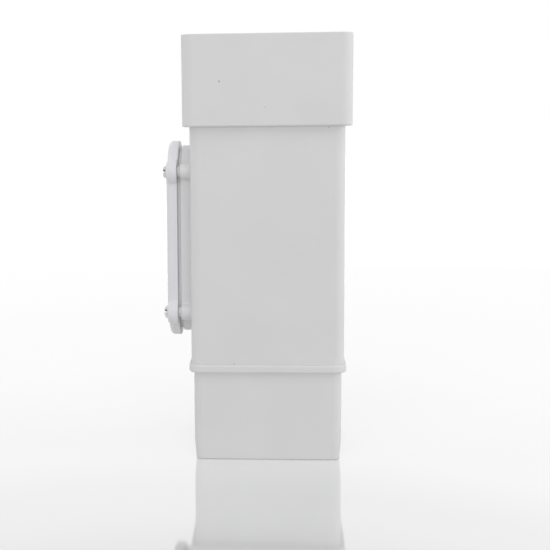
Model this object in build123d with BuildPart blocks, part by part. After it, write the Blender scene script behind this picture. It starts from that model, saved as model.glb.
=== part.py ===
from build123d import *
import os
from math import atan2, degrees

# Square access pipe for a rainwater downpipe: socket above, spigot below, screwed cover on the left side.
# Millimetres. The origin is the middle of the spigot's end, +Z runs up the pipe and the cover faces -X.

# Downpipe and its fit in the socket
downpipe_width = 65.0
socket_clearance = 0.35
socket_wall = 1.95
socket_length = 37.3
socket_floor = 2.2
socket_flare = 0.12
socket_corner = 5.0
socket_edge_chamfer = 0.5
mouth_chamfer = 0.6

# Square body between the socket and the stop ring, set in from the downpipe's outside
body_inset = 0.5
body_wall = 2.2
body_corner = 4.5
body_length = 98.8

# Stop ring that the lower downpipe butts against
ring_height = 3.6
ring_proud = 1.0
ring_chamfer = 0.5

# Spigot that enters the lower downpipe, set in from the body
spigot_inset = 1.0
spigot_wall = 2.2
spigot_corner = 4.0
spigot_length = 37.5
lead_in_length = 8.0
lead_in_depth = 0.7

# Access frame on the left wall, with straight sides and arched ends
access_above_ring = 50.1
access_length = 81.4
frame_margin = 12.9
frame_end_inset = 2.1
frame_wall = 2.4
frame_height = 6.0
shoulder_drop = 1.2
shoulder_inset = 1.0
frame_root_chamfer = 0.8
notch_round = 1.5

# Screw bosses, set in from the frame's sides and out past the centres of its arched ends
boss_side_inset = 0.5
boss_rise = 6.2
boss_radius = 3.4
boss_hole_depth = 6.4

# Cover plate with ears over the bosses and a locating rim inside the opening
cover_overhang = 1.9
cover_thickness = 4.5
cover_face = 2.2
cover_edge_chamfer = 1.1
rim_clearance = 0.3
rim_wall = 1.6
rim_depth = 2.5

# Pan-head tapping screws
screw_diameter = 2.9
screw_length = 9.5
screw_point = 2.0
screw_clearance = 0.1
ear_hole_clearance = 0.25
head_diameter = 5.6
head_height = 2.2
head_chamfer = 1.0
recess_width = 0.75
recess_span = 3.2
recess_depth = 1.2

# Levels up the pipe
ring_top = spigot_length + ring_height
socket_base = ring_top + body_length
total_length = socket_base + socket_length
socket_stop = socket_base + socket_floor

# Widths across the pipe
body_width = downpipe_width - 2 * body_inset
spigot_width = body_width - 2 * spigot_inset
ring_width = body_width + 2 * ring_proud
ring_corner = body_corner + ring_proud
socket_bore = downpipe_width + 2 * socket_clearance
socket_width = socket_bore + 2 * socket_wall
body_bore = body_width - 2 * body_wall
spigot_bore = spigot_width - 2 * spigot_wall
tip_width = spigot_width - 2 * lead_in_depth

# Planes of the access, whose local x runs to the front and local y up the pipe
access_height = ring_top + access_above_ring
wall_plane = Plane(origin=(-body_width / 2, 0, access_height), x_dir=(0, -1, 0), z_dir=(-1, 0, 0))
shoulder_plane = wall_plane.offset(frame_height - shoulder_drop)
seat_plane = wall_plane.offset(frame_height)
cover_plane = wall_plane.offset(frame_height + cover_thickness)

# Layout of the access
frame_width = body_width - 2 * frame_margin
frame_end_radius = frame_width / 2 - frame_end_inset
frame_end_centre = access_length / 2 - frame_end_radius
boss_across = frame_width - 2 * boss_side_inset
boss_along = 2 * (frame_end_centre + boss_rise)
boss_hole_radius = screw_diameter / 2 + screw_clearance
ear_hole_radius = screw_diameter / 2 + ear_hole_clearance


def access_outline(grow):
    """Outline of the frame, moved outward by grow: straight sides, arched ends and a lobe at each screw."""
    Rectangle(frame_width + 2 * grow, boss_along)
    with GridLocations(0, 2 * frame_end_centre, 1, 2):
        Circle(frame_end_radius + grow)
    with GridLocations(boss_across, boss_along, 2, 2):
        Circle(boss_radius + grow)


def opening_outline(inset):
    """Outline of the opening inside the frame, moved inward by inset, with the bosses left standing."""
    shrink = frame_wall + inset
    Rectangle(frame_width - 2 * shrink, boss_along)
    with GridLocations(0, 2 * frame_end_centre, 1, 2):
        Circle(frame_end_radius - shrink)
    with GridLocations(boss_across, boss_along, 2, 2):
        Circle(boss_radius + inset, mode=Mode.SUBTRACT)


# Pipe body: one moulding
with BuildPart() as pipe_body:
    # Stop ring with both rims eased
    with BuildSketch(Plane.XY.offset(spigot_length)):
        RectangleRounded(ring_width, ring_width, ring_corner)
    extrude(amount=ring_height)
    chamfer(pipe_body.edges().group_by(Axis.Z)[0] + pipe_body.edges().group_by(Axis.Z)[-1], ring_chamfer)

    # Socket, a little wider at its mouth
    with BuildSketch(Plane.XY.offset(socket_base)):
        RectangleRounded(socket_width, socket_width, socket_corner)
    extrude(amount=socket_length, taper=-degrees(atan2(socket_flare, socket_length)))
    chamfer(pipe_body.edges(Select.LAST).group_by(Axis.Z)[0], socket_edge_chamfer)

    # Body tube, from the ring into the socket's floor
    with BuildSketch(Plane.XY.offset(spigot_length)):
        RectangleRounded(body_width, body_width, body_corner)
    extrude(amount=socket_stop - spigot_length)

    # Spigot, with a tapered lead-in at its end
    with BuildSketch(Plane.XY.offset(lead_in_length)):
        RectangleRounded(spigot_width, spigot_width, spigot_corner)
    extrude(amount=ring_top - lead_in_length)
    with BuildSketch(Plane.XY):
        RectangleRounded(tip_width, tip_width, spigot_corner - lead_in_depth)
    extrude(amount=lead_in_length, taper=-degrees(atan2(lead_in_depth, lead_in_length)))

    # Access frame, eased where it grows out of the wall
    with BuildSketch(wall_plane) as frame_outline:
        access_outline(0)
        fillet(frame_outline.vertices(), notch_round)
    extrude(amount=frame_height - shoulder_drop)
    chamfer(pipe_body.edges(Select.LAST).group_by(Axis.X)[-1], frame_root_chamfer)

    # Seat for the cover, set in from the frame's shoulder
    with BuildSketch(shoulder_plane):
        access_outline(-shoulder_inset)
    extrude(amount=shoulder_drop)

    # Water way through the spigot, the body and the socket
    with BuildSketch(Plane.XY):
        RectangleRounded(spigot_bore, spigot_bore, spigot_corner - lead_in_depth)
    extrude(amount=total_length, mode=Mode.SUBTRACT)
    with BuildSketch(Plane.XY.offset(ring_top)):
        RectangleRounded(body_bore, body_bore, body_corner - body_wall)
    extrude(amount=total_length - ring_top, mode=Mode.SUBTRACT)
    with BuildSketch(Plane.XY.offset(socket_stop)):
        RectangleRounded(socket_bore, socket_bore, socket_corner - socket_wall)
    extrude(amount=socket_length, mode=Mode.SUBTRACT)
    mouth_inner = pipe_body.faces().sort_by(Axis.Z)[-1].inner_wires()[0]
    chamfer(mouth_inner.edges(), mouth_chamfer)

    # Access opening through the frame and the wall behind it
    with BuildSketch(seat_plane):
        opening_outline(0)
    extrude(amount=-(frame_height + 2 * body_wall), mode=Mode.SUBTRACT)

    # Blind screw holes in the bosses
    with BuildSketch(seat_plane):
        with GridLocations(boss_across, boss_along, 2, 2):
            Circle(boss_hole_radius)
    extrude(amount=-boss_hole_depth, mode=Mode.SUBTRACT)

# Access cover: one moulding, thinned inside its locating rim
with BuildPart() as access_cover:
    with BuildSketch(seat_plane) as cover_outline:
        access_outline(cover_overhang)
        fillet(cover_outline.vertices(), notch_round)
    extrude(amount=cover_thickness)
    chamfer(access_cover.edges().group_by(Axis.X)[0], cover_edge_chamfer)

    with BuildSketch(seat_plane):
        opening_outline(rim_clearance)
    extrude(amount=-rim_depth)
    with BuildSketch(seat_plane.offset(-rim_depth)):
        opening_outline(rim_clearance + rim_wall)
    extrude(amount=rim_depth + cover_thickness - cover_face, mode=Mode.SUBTRACT)

    with Locations(cover_plane):
        with GridLocations(boss_across, boss_along, 2, 2):
            Hole(ear_hole_radius, depth=cover_thickness)

# One screw, standing on its head's underside, with a cross recess
with BuildPart() as screw:
    Cylinder(head_diameter / 2, head_height, align=(Align.CENTER, Align.CENTER, Align.MIN))
    chamfer(screw.edges().group_by(Axis.Z)[-1], head_chamfer)
    with Locations((0, 0, head_height)):
        down = (Align.CENTER, Align.CENTER, Align.MAX)
        Box(recess_span, recess_width, recess_depth, align=down, mode=Mode.SUBTRACT)
        Box(recess_width, recess_span, recess_depth, align=down, mode=Mode.SUBTRACT)
    shank_length = screw_length - screw_point
    Cylinder(screw_diameter / 2, shank_length, align=(Align.CENTER, Align.CENTER, Align.MAX))
    with Locations((0, 0, -shank_length)):
        Cone(screw_clearance, screw_diameter / 2, screw_point, align=(Align.CENTER, Align.CENTER, Align.MAX))

# Four like screws, one through each ear
with BuildPart() as cover_screws:
    with Locations(cover_plane):
        with GridLocations(boss_across, boss_along, 2, 2):
            add(screw.part)

pipe_body.part.label = "pipe_body"
access_cover.part.label = "access_cover"
cover_screws.part.label = "cover_screws"

os.makedirs("parts", exist_ok=True)
export_step(pipe_body.part, "parts/pipe_body.step")
export_step(access_cover.part, "parts/access_cover.step")
export_step(cover_screws.part, "parts/cover_screws.step")
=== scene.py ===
"""Looks of a square downpipe access pipe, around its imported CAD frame. Metres, +Z up, cover towards -X."""
from math import cos, pi, radians, sin

import bmesh
import bpy
from mathutils import Matrix, Vector


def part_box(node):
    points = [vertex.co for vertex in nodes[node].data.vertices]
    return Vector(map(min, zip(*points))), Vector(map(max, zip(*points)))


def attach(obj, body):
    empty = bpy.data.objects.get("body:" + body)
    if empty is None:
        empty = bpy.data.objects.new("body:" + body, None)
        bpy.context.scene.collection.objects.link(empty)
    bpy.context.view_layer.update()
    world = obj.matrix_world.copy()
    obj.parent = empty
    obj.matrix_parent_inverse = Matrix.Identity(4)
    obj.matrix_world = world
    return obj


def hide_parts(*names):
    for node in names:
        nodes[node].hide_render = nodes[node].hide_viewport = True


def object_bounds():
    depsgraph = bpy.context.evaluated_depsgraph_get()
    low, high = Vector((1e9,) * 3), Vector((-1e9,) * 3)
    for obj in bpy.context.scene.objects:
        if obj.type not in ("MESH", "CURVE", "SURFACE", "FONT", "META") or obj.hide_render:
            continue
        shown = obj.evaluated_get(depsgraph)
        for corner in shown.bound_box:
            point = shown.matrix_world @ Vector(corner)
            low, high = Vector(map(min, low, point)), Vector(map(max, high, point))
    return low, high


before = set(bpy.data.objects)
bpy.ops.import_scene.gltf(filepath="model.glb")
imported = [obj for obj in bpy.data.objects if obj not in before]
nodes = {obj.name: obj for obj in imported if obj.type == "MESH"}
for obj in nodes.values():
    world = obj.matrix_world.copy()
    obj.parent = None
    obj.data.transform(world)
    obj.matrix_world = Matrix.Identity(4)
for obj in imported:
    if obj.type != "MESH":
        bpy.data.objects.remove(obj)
cad_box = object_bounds()
mm = 0.001

# Camera, fitted to the outline of the pipe in the photograph
image_px = 550
focal_px = 1200
optical_centre_px = 191.5
sensor_width = 36.0
camera_place = Vector((3.94, -525.2, 142.9)) * mm
camera_yaw = radians(4.10)
camera_pitch = radians(7.37)
camera_roll = radians(0.59)
nearest_view = 0.01

# Moulded edges of the plastic
edge_radius = 0.35 * mm
edge_segments = 3
edge_angle = radians(25)
flat_angle = radians(0.4)
weld_distance = 0.002 * mm

# Screws: a domed head on a threaded shank, with a slot out to the rim and a shorter arm across it
cad_head_radius = 2.8 * mm
screw_cap_radius = 2.7 * mm
screw_cap_height = 1.7 * mm
cap_side = 0.2
cap_fullness = 2.2
cap_rim = 0.12 * mm
shank_radius = 1.42 * mm
shank_core = 1.05 * mm
shank_length = 9.5 * mm
shank_neck = 0.8 * mm
shank_point = 2.2 * mm
point_radius = 0.05 * mm
thread_pitch = 1.1 * mm
thread_sharpness = 2.2
slot_reach = 2.8 * mm
cross_reach = 1.75 * mm
recess_half_width = 0.62 * mm
recess_depth = 1.4 * mm
recess_taper = 0.85
recess_skin = 0.06 * mm
cutter_above = 0.3 * mm
screw_edge_radius = 0.06 * mm
screw_edge_segments = 2
screw_edge_angle = radians(40)
ring_sides = 48
rows_per_turn = 10
cap_rows = 14

# Turns of the screws: near low, near high, far low, far high
screw_turns = (radians(20), radians(14), radians(63), radians(-38))

# Colours, in linear light
upvc_light = (0.805, 0.806, 0.812, 1)
upvc_shade = (0.785, 0.786, 0.794, 1)
cover_light = (0.865, 0.867, 0.880, 1)
cover_shade = (0.845, 0.847, 0.862, 1)
speck_colour = (0.30, 0.27, 0.22, 1)
zinc_light = (0.74, 0.74, 0.75, 1)
zinc_shade = (0.54, 0.54, 0.55, 1)
# Darker zinc for the faces inside the screws' recesses: painted shade of the recess
recess_light = (0.20, 0.20, 0.21, 1)
recess_shade = (0.09, 0.09, 0.09, 1)
floor_colour = (0.80, 0.80, 0.80, 1)
white = (1, 1, 1, 1)

# Surfaces: scales of noise per metre, ranges of roughness, and bumps as (strength, depth)
upvc_ior = 1.5
upvc_cloud_scale = 38
upvc_gloss_scale = 140
upvc_grain_scale = 900
upvc_roughness = (0.30, 0.42)
upvc_bump = (0.25, 0.02 * mm)
zinc_cloud_scale = 900
zinc_gloss_scale = 2500
zinc_grain_scale = 6000
zinc_roughness = (0.20, 0.38)
zinc_bump = (0.3, 0.01 * mm)

# Dark specks on the socket, under it and above the ring: place, radius and darkness. The two on the socket
# are dirt; the one above the ring is painted shade of a small notch in the ring's top.
specks = (
    (Vector((-19.25, -34.87, 158.15)) * mm, 0.50 * mm, 0.80),
    (Vector((-0.86, -34.85, 147.72)) * mm, 0.45 * mm, 0.30),
    (Vector((25.1, -32.0, 139.3)) * mm, 0.55 * mm, 0.35),
    # painted shade of a small notch in the ring's top
    (Vector((-13.93, -32.0, 41.4)) * mm, 0.45 * mm, 0.40),
)
speck_core = 0.3

# Studio
ambient = 0.30
floor_radius = 4.0
floor_segments = 96
floor_gap = 0.14 * mm
floor_mirror = 0.65
floor_gloss_blur = 0.06

# Glow of the floor round a point in front of the object: distance and level
glow_centre = Vector((-0.02, -0.25, 0))
glow_steps = ((0.08, 0.04), (0.165, 0.12), (0.235, 0.18), (0.46, 0.21), (0.85, 0.23), (1.3, 0.45))

# Softboxes round the middle of the object: name, place from there, width, height and power
softboxes = (
    ("overhead", Vector((0.0, 0.0, 1.1)), 1.4, 1.4, 3.0),
    ("front", Vector((-0.4, -10.2, 1.5)), 10.0, 3.0, 250.0),
    ("front_above", Vector((-0.4, -4.2, 5.5)), 6.0, 5.0, 112.0),
    ("right", Vector((1.1, 0.1, 0.2)), 0.9, 0.9, 5.5),
    ("left", Vector((-1.0, 0.3, 0.4)), 0.9, 0.9, 1.5),
    ("back", Vector((-0.3, 1.1, 0.6)), 1.0, 1.0, 3.0),
)


def add_node(tree, kind, **values):
    """A node of that kind, with properties or inputs set by name."""
    made = tree.nodes.new(kind)
    for name, value in values.items():
        if name in made.bl_rna.properties:
            setattr(made, name, value)
        else:
            made.inputs[name].default_value = value
    return made


def new_material(name):
    """An empty node material, its tree, and its surface socket."""
    material = bpy.data.materials.new(name)
    material.use_nodes = True
    tree = material.node_tree
    tree.nodes.clear()
    output = tree.nodes.new("ShaderNodeOutputMaterial")
    return material, tree, output.inputs["Surface"]


def noise(tree, place, scale, detail=3.0, roughness=0.55):
    """A noise value over the object, finer for a larger scale."""
    made = add_node(tree, "ShaderNodeTexNoise", Scale=scale, Detail=detail, Roughness=roughness)
    tree.links.new(place, made.inputs["Vector"])
    return made.outputs["Fac"]


def spread(tree, value, low, high, start=0.35, end=0.65):
    """Maps a value between start and end, by default the middle of a noise, onto low to high."""
    made = add_node(tree, "ShaderNodeMapRange")
    for name, number in (("From Min", start), ("From Max", end), ("To Min", low), ("To Max", high)):
        made.inputs[name].default_value = number
    tree.links.new(value, made.inputs["Value"])
    return made.outputs["Result"]


def mix_colour(tree, factor, first, second):
    """Colour between two others, each a constant or a socket."""
    made = add_node(tree, "ShaderNodeMix", data_type="RGBA")
    tree.links.new(factor, made.inputs["Factor"])
    # A Mix node has sockets of the same name for each data type, so the colour ones go by number
    for socket, colour in ((made.inputs[6], first), (made.inputs[7], second)):
        if isinstance(colour, tuple):
            socket.default_value = colour
        else:
            tree.links.new(colour, socket)
    return made.outputs[2]


def add_grain(tree, shader, height, bump):
    """Roughens a shader's surface by a height value."""
    strength, depth = bump
    made = add_node(tree, "ShaderNodeBump", Strength=strength, Distance=depth)
    tree.links.new(height, made.inputs["Height"])
    tree.links.new(made.outputs["Normal"], shader.inputs["Normal"])


def make_upvc(name, light, shade):
    """Glossy white moulded plastic with a faint unevenness and a few dark specks: dirt on the socket, and
    painted shade of a small notch at the ring's top.
    """
    material, tree, surface = new_material(name)
    place = tree.nodes.new("ShaderNodeTexCoord").outputs["Object"]
    shader = add_node(tree, "ShaderNodeBsdfPrincipled", IOR=upvc_ior)
    tree.links.new(shader.outputs["BSDF"], surface)

    cloud = spread(tree, noise(tree, place, upvc_cloud_scale), 0, 1)
    colour = mix_colour(tree, cloud, light, shade)
    # Dark specks: dirt on the socket, and painted shade of a notch at the ring's top
    for centre, radius, darkness in specks:
        away = add_node(tree, "ShaderNodeVectorMath", operation="DISTANCE")
        tree.links.new(place, away.inputs[0])
        away.inputs[1].default_value = centre
        mask = spread(tree, away.outputs["Value"], darkness, 0, speck_core * radius, radius)
        colour = mix_colour(tree, mask, colour, speck_colour)
    tree.links.new(colour, shader.inputs["Base Color"])

    roughness = spread(tree, noise(tree, place, upvc_gloss_scale), *upvc_roughness)
    tree.links.new(roughness, shader.inputs["Roughness"])
    add_grain(tree, shader, noise(tree, place, upvc_grain_scale), upvc_bump)
    return material


def make_zinc(name, light, shade):
    """Zinc plating with a cloudy, finely grained surface."""
    material, tree, surface = new_material(name)
    place = tree.nodes.new("ShaderNodeTexCoord").outputs["Object"]
    shader = add_node(tree, "ShaderNodeBsdfPrincipled", Metallic=1.0)
    tree.links.new(shader.outputs["BSDF"], surface)
    cloud = spread(tree, noise(tree, place, zinc_cloud_scale), 0, 1)
    tree.links.new(mix_colour(tree, cloud, light, shade), shader.inputs["Base Color"])
    roughness = spread(tree, noise(tree, place, zinc_gloss_scale), *zinc_roughness)
    tree.links.new(roughness, shader.inputs["Roughness"])
    add_grain(tree, shader, noise(tree, place, zinc_grain_scale), zinc_bump)
    return material


def make_floor_material():
    """Pale semi-gloss floor that brightens into the white background away from the object."""
    material, tree, surface = new_material("pale_floor")
    place = tree.nodes.new("ShaderNodeTexCoord").outputs["Object"]
    matt = add_node(tree, "ShaderNodeBsdfDiffuse", Color=floor_colour)
    mirror = add_node(tree, "ShaderNodeBsdfGlossy", Roughness=floor_gloss_blur)
    both = add_node(tree, "ShaderNodeMixShader", Fac=floor_mirror)
    tree.links.new(matt.outputs[0], both.inputs[1])
    tree.links.new(mirror.outputs[0], both.inputs[2])
    away = add_node(tree, "ShaderNodeVectorMath", operation="DISTANCE")
    tree.links.new(place, away.inputs[0])
    away.inputs[1].default_value = glow_centre
    reach = glow_steps[-1][0]
    ramp = add_node(tree, "ShaderNodeValToRGB")
    ramp.color_ramp.interpolation = "EASE"
    for spot, _ in glow_steps[1:-1]:
        ramp.color_ramp.elements.new(spot / reach)
    for element, (spot, level) in zip(ramp.color_ramp.elements, glow_steps):
        element.position = spot / reach
        element.color = (level, level, level, 1)
    tree.links.new(spread(tree, away.outputs["Value"], 0, 1, 0, reach), ramp.inputs["Fac"])
    glow = add_node(tree, "ShaderNodeEmission")
    tree.links.new(ramp.outputs["Color"], glow.inputs["Color"])
    total = add_node(tree, "ShaderNodeAddShader")
    tree.links.new(both.outputs[0], total.inputs[0])
    tree.links.new(glow.outputs[0], total.inputs[1])
    tree.links.new(total.outputs[0], surface)
    return material


def link_mesh(name, mesh_builder):
    """A new linked object whose mesh is the given bmesh, which is freed."""
    mesh = bpy.data.meshes.new(name)
    bmesh.ops.recalc_face_normals(mesh_builder, faces=mesh_builder.faces)
    mesh_builder.to_mesh(mesh)
    mesh_builder.free()
    made = bpy.data.objects.new(name, mesh)
    bpy.context.scene.collection.objects.link(made)
    return made


def round_edges(node):
    """Gives a moulded CAD node small round edges and clean shading, leaving its mesh as it is."""
    weld = node.modifiers.new("weld", "WELD")
    weld.merge_threshold = weld_distance
    flats = node.modifiers.new("flats", "DECIMATE")
    flats.decimate_type = "DISSOLVE"
    flats.angle_limit = flat_angle
    bevel = node.modifiers.new("moulded_edges", "BEVEL")
    bevel.limit_method = "ANGLE"
    bevel.angle_limit = edge_angle
    bevel.width = edge_radius
    bevel.segments = edge_segments
    bevel.use_clamp_overlap = False
    node.modifiers.new("clean_shading", "WEIGHTED_NORMAL")
    triangles = node.modifiers.new("triangles", "TRIANGULATE")
    triangles.keep_custom_normals = True


def cap_level(radius):
    """Height of the screw's domed head at a radius."""
    share = max(0.0, 1 - (radius / screw_cap_radius) ** cap_fullness)
    return screw_cap_height * (cap_side + (1 - cap_side) * share ** (1 / cap_fullness))


def lathe_rows():
    """Rows of (radius, height, thread share) down one screw, from the top of its head to its point."""
    rows = []
    for i in range(1, cap_rows + 1):
        radius = screw_cap_radius * sin(pi / 2 * i / cap_rows)
        rows.append((radius, cap_level(radius), 0))
    rows += [(screw_cap_radius, cap_rim, 0), (screw_cap_radius - cap_rim, 0, 0), (shank_core, 0, 0)]
    step = thread_pitch / rows_per_turn
    count = int((shank_length - shank_neck) / step)
    for i in range(count + 1):
        height = -shank_neck - (shank_length - shank_neck) * i / count
        left = shank_length + height
        share = min(1.0, left / shank_point)
        start = min(1.0, i / rows_per_turn)
        rows.append((max(shank_core * share, point_radius), height, share * start))
    return rows


def make_screw_builder():
    """One screw without its recess, head towards +Z, its head's underside at the origin."""
    builder = bmesh.new()
    rings = []
    for radius, height, thread in lathe_rows():
        ring = []
        for k in range(ring_sides):
            turn = k / ring_sides
            phase = (height / thread_pitch - turn) % 1
            crest = max(0.0, 1 - abs(2 * phase - 1) * thread_sharpness)
            r = radius + thread * crest * (shank_radius - shank_core)
            ring.append(builder.verts.new((r * cos(2 * pi * turn), r * sin(2 * pi * turn), height)))
        rings.append(ring)
    for upper, lower in zip(rings, rings[1:]):
        for k in range(ring_sides):
            n = (k + 1) % ring_sides
            builder.faces.new((upper[k], upper[n], lower[n], lower[k]))
    builder.faces.new(rings[0])
    builder.faces.new(rings[-1])
    return builder


def make_recess_builder():
    """Cutter for the head: a slot and a shorter arm across it, both narrowing downwards."""
    builder = bmesh.new()
    ends = ((screw_cap_height + cutter_above, 1), (screw_cap_height - recess_depth, recess_taper))
    for reach, angle in ((slot_reach, 0), (cross_reach, pi / 2)):
        turn = Matrix.Rotation(angle, 3, "Z")
        corners = []
        for height, scale in ends:
            for sx, sy in ((-1, -1), (1, -1), (1, 1), (-1, 1)):
                point = Vector((sx * reach, sy * recess_half_width * scale, height))
                corners.append(builder.verts.new(turn @ point))
        top, bottom = corners[:4], corners[4:]
        builder.faces.new(top)
        builder.faces.new(bottom)
        for k in range(4):
            n = (k + 1) % 4
            builder.faces.new((top[k], top[n], bottom[n], bottom[k]))
    return builder


def make_screws():
    """Four detailed screws in one piece, standing where the CAD screws stand."""
    screw = link_mesh("screw_blank", make_screw_builder())
    cutter = link_mesh("recess_cutter", make_recess_builder())
    cut = screw.modifiers.new("recess", "BOOLEAN")
    cut.object = cutter
    cut.operation = "DIFFERENCE"
    cut.solver = "EXACT"
    cut.use_self = True
    bpy.context.view_layer.update()
    finished = bpy.data.meshes.new_from_object(screw.evaluated_get(bpy.context.evaluated_depsgraph_get()))
    # Faces inside the recess take the second material, a darker zinc that paints the recess's shade
    for polygon in finished.polygons:
        spot = polygon.center
        radius = spot.xy.length
        if 0 < spot.z < cap_level(radius) - recess_skin and radius < screw_cap_radius - recess_skin:
            polygon.material_index = 1

    low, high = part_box("cover_screws")
    head_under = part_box("access_cover")[0].x
    outward = Matrix(((0, 0, -1), (-1, 0, 0), (0, 1, 0))).to_4x4()
    builder = bmesh.new()
    rows = (low.y + cad_head_radius, high.y - cad_head_radius)
    levels = (low.z + cad_head_radius, high.z - cad_head_radius)
    places = [Vector((head_under, y, z)) for y in rows for z in levels]
    for place, turn in zip(places, screw_turns):
        spin = Matrix.Rotation(turn, 4, "Z")
        copy = finished.copy()
        copy.transform(Matrix.Translation(place) @ outward @ spin)
        builder.from_mesh(copy)
        bpy.data.meshes.remove(copy)
    made = link_mesh("cover_screws_detailed", builder)
    for polygon in made.data.polygons:
        polygon.use_smooth = True
    bpy.data.objects.remove(screw)
    bpy.data.objects.remove(cutter)
    bevel = made.modifiers.new("recess_edges", "BEVEL")
    bevel.limit_method = "ANGLE"
    bevel.angle_limit = screw_edge_angle
    bevel.width = screw_edge_radius
    bevel.segments = screw_edge_segments
    made.modifiers.new("clean_shading", "WEIGHTED_NORMAL")
    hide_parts("cover_screws")
    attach(made, "root")
    return made


def set_material(piece, *materials):
    """Gives a piece these materials. Clearing resets the slot of every face, so a bare mesh isn't cleared."""
    slots = piece.data.materials
    if len(slots) > 0:
        slots.clear()
    for material in materials:
        slots.append(material)


def make_floor():
    """A round floor under the spigot's end, wide enough to meet the white background."""
    builder = bmesh.new()
    bmesh.ops.create_circle(builder, cap_ends=True, segments=floor_segments, radius=floor_radius)
    floor = link_mesh("floor", builder)
    floor.location.z = -floor_gap
    set_material(floor, make_floor_material())


def make_world():
    """White background, with softer light on the matt surfaces than the background's own."""
    world = bpy.data.worlds.new("studio")
    bpy.context.scene.world = world
    world.use_nodes = True
    tree = world.node_tree
    tree.nodes.clear()
    output = tree.nodes.new("ShaderNodeOutputWorld")
    path = tree.nodes.new("ShaderNodeLightPath")
    backdrop = add_node(tree, "ShaderNodeBackground", Strength=1.0, Color=white)
    on_matt = add_node(tree, "ShaderNodeBackground", Strength=ambient, Color=white)
    mix = tree.nodes.new("ShaderNodeMixShader")
    tree.links.new(path.outputs["Diffuse Depth"], mix.inputs["Fac"])
    tree.links.new(backdrop.outputs[0], mix.inputs[1])
    tree.links.new(on_matt.outputs[0], mix.inputs[2])
    tree.links.new(mix.outputs[0], output.inputs["Surface"])


def add_softbox(name, place, target, width, height, power):
    """An oblong area light turned towards a target, not itself seen or mirrored."""
    data = bpy.data.lights.new(name, "AREA")
    data.shape = "RECTANGLE"
    data.size = width
    data.size_y = height
    data.energy = power
    light = bpy.data.objects.new(name, data)
    light.location = place
    light.rotation_euler = (target - place).to_track_quat("-Z", "Y").to_euler()
    light.visible_camera = False
    light.visible_glossy = False
    bpy.context.scene.collection.objects.link(light)


def make_camera():
    """Camera at the photograph's viewpoint."""
    data = bpy.data.cameras.new("camera")
    data.sensor_width = sensor_width
    data.lens = focal_px / image_px * sensor_width
    data.shift_x = 0.5 - optical_centre_px / image_px
    data.clip_start = nearest_view
    level = cos(camera_pitch)
    forward = Vector((-sin(camera_yaw) * level, cos(camera_yaw) * level, -sin(camera_pitch)))
    right = Vector((cos(camera_yaw), sin(camera_yaw), 0))
    up = right.cross(forward)
    turn = Matrix((right, up, -forward)).transposed() @ Matrix.Rotation(-camera_roll, 3, "Z")
    camera = bpy.data.objects.new("camera", data)
    camera.matrix_world = Matrix.Translation(camera_place) @ turn.to_4x4()
    bpy.context.scene.collection.objects.link(camera)
    bpy.context.scene.camera = camera


mouldings = {
    "pipe_body": make_upvc("white_upvc_pipe", upvc_light, upvc_shade),
    "access_cover": make_upvc("white_upvc_cover", cover_light, cover_shade),
}
for name, material in mouldings.items():
    round_edges(nodes[name])
    set_material(nodes[name], material)
bright_zinc = make_zinc("zinc_plated_steel", zinc_light, zinc_shade)
# Darker zinc on the recess faces, painted shade of the screws' recesses
painted_recess_shade = make_zinc("zinc_painted_recess_shade", recess_light, recess_shade)
set_material(make_screws(), bright_zinc, painted_recess_shade)

make_floor()
make_world()
middle = (cad_box[0] + cad_box[1]) / 2
for name, offset, width, height, power in softboxes:
    add_softbox(name, middle + offset, middle, width, height, power)
make_camera()
bpy.context.scene.view_settings.view_transform = "Standard"
